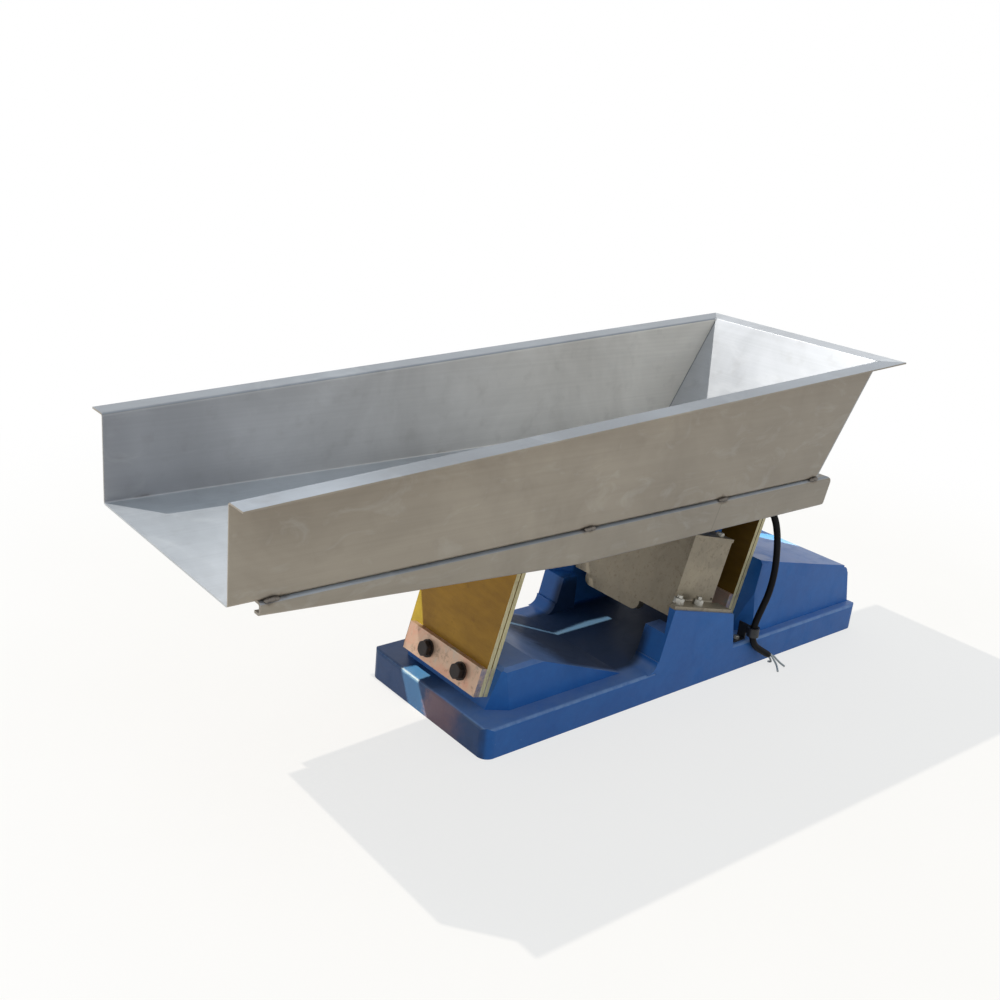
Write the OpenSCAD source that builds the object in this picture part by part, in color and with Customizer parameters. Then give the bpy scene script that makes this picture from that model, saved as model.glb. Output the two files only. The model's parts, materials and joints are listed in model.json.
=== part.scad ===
// Electromagnetic linear vibratory feeder.
// Millimetres, +Z up. The origin is the centre of the base's footprint, on the ground.
// The discharge end points to -X and the inlet end to +X.

/* [Trough] */
// Inside width of the trough
trough_w = 300; // [260:10:420]
// Length of the flat floor
floor_l = 911; // [860:1:1000]
// Wall height at the discharge end
wall_front_h = 104; // [70:1:150]
// Wall height at the top of the back plate
wall_rear_h = 162.5; // [140:0.5:220]
// Lean of the back plate from upright, in degrees
back_lean = 30.6; // [20:0.2:40]
// Thickness of the trough sheet
sheet_t = 2; // [1.5:0.5:3]
// Inside radius of the trough's folds
fold_r = 2; // [1:0.5:4]
// Width of the side flanges, from the inside of the wall
side_flange_w = 29; // [20:1:45]
// Width of the rear flange, from the inside of the back plate
rear_flange_w = 31; // [20:1:45]
// Height of the floor's top face above the ground
floor_z = 302; // [300:1:330]
// Distance from the base's centre to the discharge end
discharge_x = 748; // [700:1:800]

/* [Rails] */
// Thickness of the formed side rails
rail_t = 3; // [2:0.5:4]
// Full height of a side rail
rail_h = 44; // [38:1:50]
// Height of a side rail at its discharge end
rail_tip_h = 15; // [12:1:25]
// How far a rail stands out from the trough wall
rail_proud = 3.5; // [2:0.5:6]
// Width of the rail's top flange
rail_top_w = 26; // [18:1:40]
// Width of the rail's bottom lip
rail_lip_w = 12; // [8:1:16]
// Outside radius of the rail's folds
rail_fold_r = 5; // [4:0.5:7]
// Set-back of the rail's tip from the discharge end
rail_setback = 32; // [20:1:60]
// How far the rail runs on behind the floor
rail_overrun = 33; // [28:1:45]
// Distance from the front springs' foot back to the end of the rail's taper
rail_knee = 68; // [40:1:120]

/* [Springs] */
// Lean of the leaf springs from upright, in degrees
drive_angle = 15; // [12:0.5:18]
// Distance of the front springs' foot ahead of the base's centre
front_spring_x = 363; // [355:1:368]
// Distance of the rear springs' foot behind the base's centre
rear_spring_x = 112; // [108:1:120]
// Height of the springs' foot above the ground
spring_foot_z = 61; // [58:1:66]
// Length of a leaf
leaf_l = 237; // [232:1:240]
// Width of a leaf
leaf_w = 165; // [150:1:170]
// Thickness of a leaf
leaf_t = 6.5; // [5:0.5:7]
// Thickness of the shim between two leaves
shim_t = 1.5; // [1:0.5:3]
// Height of the clamp bars and shims
clamp_h = 38; // [34:1:42]
// Thickness of the clamp bars
clamp_t = 9; // [8:0.5:12]
// Distance between the two bolts of a clamp bar
clamp_pitch = 70; // [62:1:90]
// Thickness of the brackets that carry the trough
bracket_t = 12; // [8:1:14]

/* [Base] */
// Length of the base
base_l = 780; // [770:1:800]
// Width of the base
base_w = 255; // [250:1:270]
// Height of the plinth
plinth_h = 43; // [38:1:46]
// Corner radius of the plinth in plan
plinth_corner_r = 15; // [8:1:20]
// Radius of the casting's upper edges
cast_edge_r = 5; // [3:0.5:8]
// Top height of the front spring block
front_block_z = 101; // [96:1:104]
// Distance of the front block's rear foot ahead of the base's centre
front_block_tail_x = 135; // [120:1:150]
// Top height of the rear spring block over its rear corner
rear_block_z = 106; // [100:1:112]
// Top height of the rear spring block over the springs
rear_block_front_z = 156; // [150:1:160]
// Distance of the rear block's tail behind the base's centre
rear_block_tail_x = 372; // [365:1:376]
// Width of the spring blocks at the foot
block_w = 226; // [220:1:234]
// Draft of the casting's sides, in degrees
cast_draft = 5; // [3:0.5:7]
// Thickness of the two magnet cheeks
cheek_t = 28; // [24:1:30]
// Distance between mounting holes along the base
mount_pitch_x = 680; // [660:10:700]
// Distance between mounting holes across the base
mount_pitch_y = 190; // [180:5:200]
// Diameter of the tapped mounting holes
mount_hole_d = 10.2; // [8.5:0.1:14]
// Depth of the tapped mounting holes
mount_hole_l = 30; // [20:1:34]

/* [Electromagnet] */
// Centre of the magnet's seat behind the base's centre
magnet_x = 2; // [-2:1:6]
// Height of the centre of the magnet's seat
magnet_z = 114.5; // [112:0.5:118]
// Depth of the magnet housing along the stroke
housing_d = 88; // [84:1:92]
// Width of the magnet housing
housing_w = 194; // [180:1:196]
// Height of the magnet housing over its seat
housing_h = 97; // [94:1:102]
// Thickness of the housing's sheet
housing_t = 5; // [3:0.5:6]
// How far the housing's front hangs below its seat
housing_skirt = 20; // [12:1:24]
// Stack thickness of the laminated core and armature
stack_w = 64; // [50:2:80]
// Air gap between the core's poles and the armature
air_gap = 3; // [2.5:0.1:4]
// Thickness of the armature
armature_t = 20; // [16:1:22]

/* [Cable] */
// Diameter of the supply cable
cable_d = 10; // [8:0.5:11]

/* [Hidden] */
$fn = 48;

// Small play that keeps a bolt clear of its hole, and an overlap for clean cuts
play = 0.25;
eps = 0.5;

// Trough outline, seen from the near side
x0 = -discharge_x;
x1 = x0 + floor_l;
x2 = x1 + wall_rear_h*tan(back_lean);
top_tilt = atan((wall_rear_h - wall_front_h)/(x2 - x0));
wall_y = trough_w/2;
floor_under_z = floor_z - sheet_t;
flange_r = fold_r + sheet_t;
function top_z(x) = floor_z + wall_front_h + (x - x0)*tan(top_tilt);
function back_x(z) = x1 + (z - floor_z)*tan(back_lean);

// Rail outline
rail_y = wall_y + sheet_t + rail_proud;
rail_in_y = rail_y - rail_t;
rail_cut_l = 12;
rail_cut_lean = 8;
rail_end_r = 9;
rail_top_z = floor_under_z;
rail_bottom_z = rail_top_z - rail_h;
rail_tip_x = x0 + rail_setback;
rail_end_x = x1 + rail_overrun;
rail_knee_x = rail_knee - front_spring_x;

// Spring packs: local Z runs up the leaf and local X is the stroke
pack_t = 2*leaf_t + shim_t;
bolt_d = 12;
bolt_af = 19;
bolt_head_h = 7.5;
washer_d = 24;
washer_t = 2.5;
clamp_bolt_z = clamp_h/2;
front_bolt_y = -11.5;
clamp_short = 11;
front_foot_x = -front_spring_x;
rear_foot_x = rear_spring_x;

// Magnet: local Z is normal to its seat and local X is the stroke
half_d = housing_d/2;
half_w = housing_w/2;
seat_front = 31;
foot_front = seat_front - 1;
foot_rear = 14;
foot_w = base_w/2 - half_w - 3;
foot_cut_x = 50;
foot_bolt_x = [-52, -8];
foot_bolt_d = 8;
foot_bolt_af = 13;
foot_stud_h = 17;
cheek_toe = 20;
nose_t = 14;
nose_from = 52;
nose_z = 98;
cut_l = 24;
cut_w = 17;
cut_x = magnet_x - 48.3;
carrier_t = 12;
carrier_w = 112;
carrier_mid_y = 20;
carrier_drop = 17.5;
core_h = 80;
core_leg = 15;
core_back = 16;
core_z = 8;
core_front_x = -half_d + housing_t + carrier_t;
core_l = half_d - core_front_x;
core_mid_z = core_z + core_h/2;
coil_l = 34;
coil_fit = 1;
armature_x = half_d + air_gap;
hanger_t = 10;
hanger_w = 96;
hanger_x = armature_x + armature_t;
rib_d = 12;
rib_t = 8;

// Cable route, from the gland on the magnet's cover to the cable's end beside the base
cable_points = [
    [27, -30, 225], [31, -30, 240], [36, -34, 253], [48, -49, 266], [64, -71, 273], [82, -96, 272],
    [97, -115, 264], [108, -126, 251], [117, -130, 235], [125, -131, 216], [131, -131, 196],
    [135, -131, 175], [137, -131, 154], [136, -131, 134], [132, -131, 115], [126, -131, 101],
    [118, -132, 88], [111, -133, 75], [109, -133, 61], [112, -133, 47], [120, -134, 35],
    [132, -137, 26], [148, -141, 16]
];
// The stripped leads, from near the cable's end to the ground
lead_points = [
    [[153, -148, 10], [153, -153, 5.5], [149, -159, 3], [142, -166, 1.5]],
    [[153, -141, 9], [155, -142, 5], [156, -141, 2.5], [155, -137, 1.5]],
    [[157, -144, 13], [161, -148, 8], [164, -154, 3.5], [165, -161, 1.5]]
];
lead_d = 3;
lead_spread = 2.6;
lead_stub = 3;
cable_sides = 10;

function tilt_pt(x, z) = [x*cos(drive_angle) + z*sin(drive_angle), z*cos(drive_angle) - x*sin(drive_angle)];

module at_spring(foot_x) {
    translate([foot_x, 0, spring_foot_z]) rotate([0, drive_angle, 0]) children();
}

module at_magnet() {
    translate([magnet_x, 0, magnet_z]) rotate([0, drive_angle, 0]) children();
}

// A YZ outline drawn out along X, from x = from to x = to
module along_x(from, to) {
    translate([from, 0, 0]) rotate([90, 0, 90]) linear_extrude(to - from) children();
}

// An XZ outline drawn out along Y, centred
module across(width) {
    rotate([90, 0, 0]) translate([0, 0, -width/2]) linear_extrude(width) children();
}

// Box between two corners
module span(a, b) {
    translate(a) cube(b - a);
}

// Quarter of a folded sheet: centre of the fold at the origin, sheet in the quadrant +X +Y
module fold2d(r_in, t) {
    intersection() {
        difference() {
            circle(r = r_in + t);
            circle(r = r_in);
        }
        square(r_in + t);
    }
}

// The same fold for a sloping bend: a hair thinner than its sheets, and let into them at both ends
fold_seam = 0.02;
fold_lap = 0.1;
module let_in_fold2d(r_in, t) {
    r_out = r_in + t - fold_seam;
    intersection() {
        difference() {
            circle(r = r_out);
            circle(r = r_in + fold_seam);
        }
        translate([-fold_lap, -fold_lap]) square(r_out + 2*fold_lap);
    }
}

// An XZ outline drawn out along Y, from y = from to y = to
module across_from(from, to) {
    translate([0, to, 0]) rotate([90, 0, 0]) linear_extrude(to - from) children();
}

module both_sides() {
    children();
    mirror([0, 1, 0]) children();
}

// ---- Trough ----

// Floor and the folds along its sides, +Y half
module floor_half2d() {
    translate([0, floor_under_z]) square([wall_y - fold_r, sheet_t]);
    translate([wall_y - fold_r, floor_z + fold_r]) rotate(-90) fold2d(fold_r, sheet_t);
}

// Plan of the +Y wall and its flange, up to the mitre with the rear flange
module wall_plan2d() {
    spare = 5;
    polygon([[x0, wall_y - spare], [x2, wall_y - spare], [x2, wall_y],
        [x2 + rear_flange_w + spare, wall_y + side_flange_w + spare], [x0, wall_y + side_flange_w + spare]]);
}

// Side wall with its upper fold and flange; the flange slopes up towards the rear
module trough_wall() {
    far_x = x2 + rear_flange_w + side_flange_w;
    drop = flange_r/cos(top_tilt);
    flange_drop = sheet_t/cos(top_tilt);
    across_from(wall_y, wall_y + sheet_t) polygon([[x0, floor_z + fold_r], [far_x, floor_z + fold_r],
        [far_x, top_z(far_x) - drop], [x0, top_z(x0) - drop]]);
    intersection() {
        union() {
            translate([x0, 0, top_z(x0)]) rotate([0, -top_tilt, 0]) along_x(-flange_r, far_x - x0)
                translate([wall_y + flange_r, -flange_r]) rotate(90) let_in_fold2d(fold_r, sheet_t);
            across_from(wall_y + flange_r, wall_y + side_flange_w) polygon([
                [x0, top_z(x0) - flange_drop], [far_x, top_z(far_x) - flange_drop],
                [far_x, top_z(far_x)], [x0, top_z(x0)]]);
        }
        linear_extrude(2*floor_z) wall_plan2d();
        // the rear end of the flange is cut in line with the rear flange
        span([x0, 0, floor_z], [x2 + rear_flange_w*cos(top_tilt), trough_w, 2*floor_z]);
    }
}

// Everything behind the inner face of the back plate
module behind_back_plate(width) {
    low_z = floor_under_z - rail_h;
    high_z = floor_z + 2*wall_rear_h;
    across(width) polygon([[back_x(low_z), low_z], [x2 + wall_rear_h, low_z], [x2 + wall_rear_h, high_z],
        [back_x(high_z), high_z]]);
}

module trough_pan() {
    flange_room = 25;
    color("silver") difference() {
        union() {
            along_x(x0, x2) {
                floor_half2d();
                mirror([1, 0]) floor_half2d();
            }
            both_sides() trough_wall();
        }
        behind_back_plate(trough_w + 2*sheet_t);
        // nothing is left under the mitred flanges behind the back plate
        span([x2 - flange_room/2, -trough_w, floor_under_z - 1], [x2 + wall_rear_h, trough_w, top_z(x2) - flange_room]);
    }
}

// Centre of the fold between the back plate and the rear flange
fold_slide = sheet_t*(1 - sin(back_lean + top_tilt))/cos(back_lean + top_tilt);
fold_x = x2 + sheet_t*cos(back_lean) - fold_slide*sin(back_lean);
fold_z = top_z(x2) - sheet_t*sin(back_lean) - fold_slide*cos(back_lean);

module trough_back_plate() {
    plate_dx = sheet_t/cos(back_lean);
    color("gainsboro") {
        across(trough_w + 2*sheet_t) {
            polygon([[back_x(floor_under_z), floor_under_z], [back_x(floor_under_z) + plate_dx, floor_under_z],
                [fold_x, fold_z], [fold_x - sheet_t*cos(back_lean), fold_z + sheet_t*sin(back_lean)]]);
            translate([fold_x, fold_z]) circle(r = sheet_t);
        }
        intersection() {
            across(trough_w + 2*side_flange_w) translate([fold_x, fold_z]) rotate(top_tilt)
                square([rear_flange_w, sheet_t]);
            linear_extrude(2*floor_z)
                polygon([[x2 - 1, -wall_y], [x2, -wall_y], [x2 + rear_flange_w, -wall_y - side_flange_w],
                    [x2 + rear_flange_w, wall_y + side_flange_w], [x2, wall_y], [x2 - 1, wall_y]]);
        }
    }
}

// ---- Rails ----

// Height of the rail's bottom edge at x
function rail_foot_z(x) = x > rail_knee_x ? rail_bottom_z
    : rail_bottom_z + (rail_h - rail_tip_h)*(rail_knee_x - x)/(rail_knee_x - rail_tip_x);
rail_taper = atan((rail_h - rail_tip_h)/(rail_knee_x - rail_tip_x));

// Top flange and its fold in section, at +Y, top at zero
module rail_top2d() {
    translate([rail_y - rail_top_w, -rail_t]) square([rail_top_w - rail_fold_r, rail_t]);
    translate([rail_y - rail_fold_r, -rail_fold_r]) fold2d(rail_fold_r - rail_t, rail_t);
}

// Outline of a strip that follows the rail's lower edge, from one height above it to another
module rail_strip2d(low, high) {
    polygon([[rail_tip_x, rail_foot_z(rail_tip_x) + low], [rail_knee_x, rail_bottom_z + low],
        [rail_end_x, rail_bottom_z + low], [rail_end_x, rail_bottom_z + high],
        [rail_knee_x, rail_bottom_z + high], [rail_tip_x, rail_foot_z(rail_tip_x) + high]]);
}

module rail_web2d() {
    polygon([[rail_tip_x, rail_foot_z(rail_tip_x) + rail_fold_r], [rail_knee_x, rail_bottom_z + rail_fold_r],
        [rail_end_x, rail_bottom_z + rail_fold_r], [rail_end_x, rail_top_z - rail_fold_r],
        [rail_tip_x, rail_top_z - rail_fold_r]]);
}

module side_rail() {
    lap = 10;
    intersection() {
        union() {
            translate([0, 0, rail_top_z]) along_x(rail_tip_x, rail_end_x) rail_top2d();
            across_from(rail_in_y, rail_y) rail_web2d();
            across_from(rail_y - rail_lip_w, rail_y - rail_fold_r) rail_strip2d(0, rail_t);
            translate([0, rail_y - rail_fold_r, rail_bottom_z + rail_fold_r])
                along_x(rail_knee_x, rail_end_x) rotate(-90) fold2d(rail_fold_r - rail_t, rail_t);
            translate([rail_knee_x, rail_y - rail_fold_r, rail_bottom_z]) rotate([0, rail_taper, 0])
                along_x(rail_tip_x - rail_knee_x - lap, fold_lap)
                    translate([0, rail_fold_r]) rotate(-90) let_in_fold2d(rail_fold_r - rail_t, rail_t);
        }
        // The tip is cut square; the rear end leans back, with a rounded top and its lower corner cut off
        across_from(0, trough_w) difference() {
            polygon([[rail_tip_x, rail_top_z + lap], [rail_tip_x, rail_bottom_z - lap],
                [rail_end_x - rail_cut_l - rail_cut_lean, rail_bottom_z - lap],
                [rail_end_x - rail_cut_lean, rail_bottom_z + rail_t],
                [rail_end_x, rail_top_z - rail_end_r], [rail_end_x, rail_top_z + lap]]);
            translate([rail_end_x - rail_end_r, rail_top_z - rail_end_r]) difference() {
                square(3*rail_end_r);
                circle(r = rail_end_r);
            }
        }
    }
}

module near_rail() {
    color("silver") mirror([0, 1, 0]) side_rail();
}

module far_rail() {
    color("silver") side_rail();
}

// ---- Spring packs ----

// Two holes across a bar at the bolts' height, along local X
module clamp_holes(from, to, d, z, mid = 0) {
    for (y = [-clamp_pitch/2, clamp_pitch/2])
        translate([from, mid + y, z]) rotate([0, 90, 0]) cylinder(d = d, h = to - from);
}

module bar(from, thickness, z, mid = 0, short = 0) {
    difference() {
        translate([from, -leaf_w/2, z]) cube([thickness, leaf_w - short, clamp_h]);
        clamp_holes(from - 1, from + thickness + 1, bolt_d + 2*play, z + clamp_bolt_z, mid);
    }
}

// The front pack's lower bolts sit nearer to the cable side
function lower_mid(foot_x) = foot_x < 0 ? front_bolt_y : 0;

module leaf(foot_x, from) {
    color("goldenrod") at_spring(foot_x) difference() {
        translate([from, -leaf_w/2, 0]) cube([leaf_t, leaf_w, leaf_l]);
        clamp_holes(from - 1, from + leaf_t + 1, bolt_d + 2*play, clamp_bolt_z, lower_mid(foot_x));
        clamp_holes(from - 1, from + leaf_t + 1, bolt_d + 2*play, leaf_l - clamp_bolt_z);
    }
}

module lower_shim(foot_x) {
    color("dimgray") at_spring(foot_x) bar(-shim_t/2, shim_t, 0, lower_mid(foot_x));
}

module upper_shim(foot_x) {
    color("dimgray") at_spring(foot_x) bar(-shim_t/2, shim_t, leaf_l - clamp_h);
}

module lower_clamp(foot_x) {
    color("rosybrown") at_spring(foot_x)
        bar(-pack_t/2 - clamp_t, clamp_t, 0, lower_mid(foot_x), foot_x < 0 ? clamp_short : 0);
}

module upper_clamp(foot_x) {
    color("rosybrown") at_spring(foot_x) bar(-pack_t/2 - clamp_t, clamp_t, leaf_l - clamp_h);
}

// Hex bolt along local +X: the head's seat is at zero
module hex_bolt(d, af, head_h, wash_d, wash_t, shank) {
    rotate([0, 90, 0]) {
        translate([0, 0, -wash_t - head_h]) intersection() {
            cylinder(d = af/cos(30), h = head_h, $fn = 6);
            union() {
                translate([0, 0, 1.5]) cylinder(d = af/cos(30) + 1, h = head_h);
                cylinder(d1 = af - 1, d2 = af/cos(30) + 1, h = 1.5);
            }
        }
        translate([0, 0, -wash_t]) cylinder(d = wash_d, h = wash_t);
        cylinder(d = d, h = shank);
    }
}

module lower_bolts(foot_x) {
    color("dimgray") at_spring(foot_x) for (y = [-clamp_pitch/2, clamp_pitch/2])
        translate([-pack_t/2 - clamp_t, lower_mid(foot_x) + y, clamp_bolt_z])
            hex_bolt(bolt_d, bolt_af, bolt_head_h, washer_d, washer_t, clamp_t + pack_t + bolt_reach);
}

bolt_reach = 26;
nut_h = 10;

module upper_bolts(foot_x) {
    grip = clamp_t + pack_t + bracket_t;
    color("dimgray") at_spring(foot_x) for (y = [-clamp_pitch/2, clamp_pitch/2])
        translate([-pack_t/2 - clamp_t, y, leaf_l - clamp_bolt_z]) {
            hex_bolt(bolt_d, bolt_af, bolt_head_h, washer_d, washer_t, grip + nut_h + 3);
            translate([grip, 0, 0]) rotate([0, 90, 0]) cylinder(d = bolt_af/cos(30), h = nut_h, $fn = 6);
        }
}

// Welded cross bracket: a leaning plate with a top flange between the rails and two ribs
bracket_flange_l = 34;
bracket_flange_t = 8;
bracket_rib_y = 62;
bracket_gap = 2;

// Section of the space between the rails, with its corners cut to clear the rails' folds
module between_rails2d(low) {
    corner = rail_fold_r - rail_t;
    top = rail_top_z - rail_t;
    polygon([[-rail_in_y, low], [rail_in_y, low], [rail_in_y, top - corner], [rail_in_y - corner, top],
        [corner - rail_in_y, top], [-rail_in_y, top - corner]]);
}

module spring_bracket(foot_x) {
    top_z = rail_top_z - rail_t;
    shoulder_z = rail_bottom_z + rail_t + bracket_gap;
    face_x = pack_t/2;
    // rear edge of the leaning plate where it meets the flange
    back_x = foot_x + tilt_pt(face_x + bracket_t, (top_z - spring_foot_z)/cos(drive_angle))[0];
    flange_from = back_x - bracket_t;
    flange_to = min(flange_from + bracket_flange_l, rail_end_x - bracket_gap);
    ribbed = flange_to - back_x > rib_t;
    rib_foot_x = flange_from - rail_h*tan(drive_angle);
    color("slategray") difference() {
        union() {
            intersection() {
                at_spring(foot_x) translate([face_x, -trough_w, leaf_l - clamp_h - bracket_gap])
                    cube([bracket_t, 2*trough_w, leaf_l]);
                along_x(foot_x - leaf_l, foot_x + leaf_l) union() {
                    between_rails2d(shoulder_z);
                    translate([-leaf_w/2, 0]) square([leaf_w, top_z]);
                }
            }
            intersection() {
                along_x(flange_from, flange_to) between_rails2d(top_z - bracket_flange_t);
                at_spring(foot_x) translate([face_x, -trough_w, 0]) cube([leaf_l, 2*trough_w, 2*leaf_l]);
            }
            if (ribbed) for (y = [-bracket_rib_y, bracket_rib_y]) translate([0, y, 0]) intersection() {
                across(rib_t) polygon([[flange_to, top_z - bracket_flange_t/2],
                    [flange_to, top_z - bracket_flange_t - rib_t/2], [rib_foot_x, shoulder_z],
                    [rib_foot_x, top_z - bracket_flange_t/2]]);
                at_spring(foot_x) translate([face_x + eps, -rib_t, 0]) cube([leaf_l, 2*rib_t, 2*leaf_l]);
            }
        }
        at_spring(foot_x)
            clamp_holes(face_x - 1, face_x + bracket_t + 1, bolt_d + 2*play, leaf_l - clamp_bolt_z);
    }
}

// ---- Base casting ----

// Outline with rounded upper corners, standing on zero
module round_top2d(l, h, r) {
    translate([-l/2, 0]) square([l, h - r]);
    translate([-l/2 + r, 0]) square([l - 2*r, h]);
    for (x = [-l/2 + r, l/2 - r]) translate([x, h - r]) circle(r = r);
}

module round_plan2d(l, w, r) {
    translate([-l/2 + r, -w/2]) square([l - 2*r, w]);
    translate([-l/2, -w/2 + r]) square([l, w - 2*r]);
    for (x = [-l/2 + r, l/2 - r], y = [-w/2 + r, w/2 - r]) translate([x, y]) circle(r = r);
}

module plinth() {
    intersection() {
        linear_extrude(plinth_h) round_plan2d(base_l, base_w, plinth_corner_r);
        across(base_w + 2) round_top2d(base_l, plinth_h, cast_edge_r);
        along_x(-base_l/2 - 1, base_l/2 + 1) round_top2d(base_w, plinth_h, cast_edge_r);
    }
}

// Section of a block with drafted sides and rounded upper edges
module drafted2d(w, h) {
    lean = (h - plinth_h)*tan(cast_draft);
    top = w/2 - lean;
    slide = cast_edge_r*(1 - sin(cast_draft))/cos(cast_draft);
    for (s = [-1, 1]) scale([s, 1]) {
        polygon([[0, plinth_h - 20], [w/2, plinth_h - 20], [w/2, plinth_h],
            [top + (cast_edge_r)*sin(cast_draft), h - cast_edge_r],
            [top - slide, h], [0, h]]);
    }
}

// Point on the face of a spring seat at height z
function seat_x(foot_x, z) = foot_x + pack_t/2*cos(drive_angle)
    + (z - spring_foot_z + pack_t/2*sin(drive_angle))*tan(drive_angle);

module front_block() {
    plan_l = 28;
    plan_w = 18;
    shelf_x = front_foot_x + 80;
    chamfer_x = seat_x(front_foot_x, plinth_h);
    intersection() {
        across(base_w) polygon([[seat_x(front_foot_x, plinth_h - 10), plinth_h - 10],
            [-front_block_tail_x + 10, plinth_h - 10], [-front_block_tail_x, plinth_h],
            [shelf_x, front_block_z - 3], [shelf_x - 10, front_block_z],
            [seat_x(front_foot_x, front_block_z - 4) + 5, front_block_z],
            [seat_x(front_foot_x, front_block_z - 4), front_block_z - 4]]);
        along_x(-base_l/2, base_l/2) drafted2d(block_w - 22, front_block_z);
        linear_extrude(front_block_z + 1) polygon([
            [chamfer_x - 2*plan_l, -leaf_w/2 - 2 + 2*plan_w], [chamfer_x + plan_l, -leaf_w/2 - 2 - plan_w],
            [0, -leaf_w/2 - 2 - plan_w], [0, leaf_w/2 + 2 + plan_w],
            [chamfer_x + plan_l, leaf_w/2 + 2 + plan_w], [chamfer_x - 2*plan_l, leaf_w/2 + 2 - 2*plan_w]]);
    }
}

module rear_block() {
    plan_l = 22;
    plan_w = block_w/2 - leaf_w/2 - 2;
    chamfer_x = seat_x(rear_foot_x, plinth_h);
    nose_x = seat_x(rear_foot_x, rear_block_front_z);
    fall = (rear_block_front_z - rear_block_z)/(rear_block_tail_x - nose_x);
    tail_lean = (rear_block_z - plinth_h)*tan(cast_draft + 6);
    r = 2*cast_edge_r;
    intersection() {
        across(base_w) {
            difference() {
                polygon([[seat_x(rear_foot_x, plinth_h - 10), plinth_h - 10],
                    [rear_block_tail_x + tail_lean*0.9, plinth_h - 10],
                    [rear_block_tail_x, rear_block_z], [nose_x, rear_block_front_z]]);
                // rounded tail edge
                translate([rear_block_tail_x - r, rear_block_z - r - 1]) difference() {
                    square([3*r, 3*r]);
                    circle(r = r);
                }
            }
        }
        along_x(-base_l/2, base_l/2) drafted2d(block_w, rear_block_front_z);
        linear_extrude(rear_block_front_z + 1) polygon([
            [chamfer_x - 2*plan_l, -leaf_w/2 - 2 + 2*plan_w], [chamfer_x + plan_l, -leaf_w/2 - 2 - plan_w],
            [base_l/2, -leaf_w/2 - 2 - plan_w], [base_l/2, leaf_w/2 + 2 + plan_w],
            [chamfer_x + plan_l, leaf_w/2 + 2 + plan_w], [chamfer_x - 2*plan_l, leaf_w/2 + 2 - 2*plan_w]]);
    }
}

// Side outline of a magnet cheek: foot fillets and a top parallel to the magnet's seat
module cheek2d() {
    front = tilt_pt(-half_d - seat_front, 0);
    rear = tilt_pt(half_d + foot_rear + 4, 0);
    front_top = [magnet_x + front[0], magnet_z + front[1]];
    rear_top = [magnet_x + rear[0], magnet_z + rear[1]];
    front_foot = front_top[0] - cheek_toe;
    rear_foot = rear_top[0] + 12;
    r = 16;
    polygon([[front_foot, plinth_h - 15], [rear_foot, plinth_h - 15], [rear_foot, plinth_h],
        rear_top, front_top, [front_foot, plinth_h + 4]]);
    translate([front_foot - r, plinth_h - eps]) difference() {
        square([r + 2, r + eps]);
        translate([0, r + eps]) circle(r = r);
    }
}

// The cheek is thicker low down at its front, and its upper front is cut off slantwise in plan
module cheek() {
    nose_y = base_w/2 - cheek_t - nose_t;
    cut_y = half_w + 2;
    difference() {
        union() {
            translate([0, base_w/2 - cheek_t/2, 0]) across(cheek_t) cheek2d();
            intersection() {
                translate([0, nose_y + nose_t, 0]) across(2*nose_t) cheek2d();
                span([-base_l/2, nose_y, plinth_h - 10], [magnet_x - nose_from, nose_y + nose_t + 4, nose_z]);
            }
        }
        translate([0, 0, nose_z]) linear_extrude(base_w) polygon([[cut_x, cut_y], [cut_x, cut_y - 2*nose_t],
            [cut_x - 3*cut_l, cut_y - 2*nose_t], [cut_x - 3*cut_l, cut_y + 3*cut_w]]);
    }
}

module base_casting() {
    color("steelblue") difference() {
        union() {
            plinth();
            front_block();
            rear_block();
            both_sides() cheek();
        }
        for (foot = [front_foot_x, rear_foot_x]) at_spring(foot)
            clamp_holes(pack_t/2 - 5, pack_t/2 + bolt_reach + 4, bolt_d + 2*play, clamp_bolt_z, lower_mid(foot));
        for (x = [-mount_pitch_x/2, mount_pitch_x/2], y = [-mount_pitch_y/2, mount_pitch_y/2])
            translate([x, y, -1]) cylinder(d = mount_hole_d, h = mount_hole_l + 1);
        at_magnet() for (x = foot_bolt_x, s = [-1, 1])
            translate([x, s*(half_w + foot_w/2), -28]) cylinder(d = foot_bolt_d + 2*play, h = 40);
        clip_hole();
    }
}

// ---- Electromagnet ----

// Side sheet with its foot flange turned out, in section at +Y, seat at zero
module housing_side2d() {
    r = housing_t + 2;
    translate([half_w - housing_t, r]) square([housing_t, housing_h - r]);
    translate([half_w - housing_t + r, r]) rotate(180) fold2d(2, housing_t);
    translate([half_w - housing_t + r, 0]) square([foot_w + housing_t - r, housing_t]);
}

module magnet_housing() {
    lip = 12;
    color("tan") at_magnet() difference() {
        union() {
            // front sheet
            span([-half_d, -half_w, -housing_skirt], [-half_d + housing_t, half_w, housing_h]);
            both_sides() {
                along_x(-half_d, half_d) housing_side2d();
                // the foot flange runs on past the sides
                linear_extrude(housing_t) polygon([[half_d + foot_rear, half_w + 2],
                    [-foot_cut_x, half_w + 2], [-half_d - foot_front, half_w + 2 + cut_w],
                    [-half_d - foot_front, half_w + foot_w], [half_d + foot_rear, half_w + foot_w]]);
                // rear edge turned in
                span([half_d - housing_t, half_w - housing_t - lip, 14], [half_d, half_w - eps, housing_h]);
            }
        }
        for (x = foot_bolt_x, s = [-1, 1])
            translate([x, s*(half_w + foot_w/2), -1]) cylinder(d = foot_bolt_d + 2*play, h = housing_t + 2);
        // relief at the rear of each side's foot fold
        for (s = [-1, 1]) translate([half_d - 4, s*(half_w - 1), 10]) rotate([90, 0, 0])
            cylinder(d = 4, h = 30, center = true);
    }
}

top_plate_over = 3;
screw_d = 6;
screw_inset = 14;

module top_screw_places() {
    for (x = [-half_d + screw_inset, half_d - screw_inset], y = [-half_w + screw_inset, half_w - screw_inset])
        translate([x, y, 0]) children();
}

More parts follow.
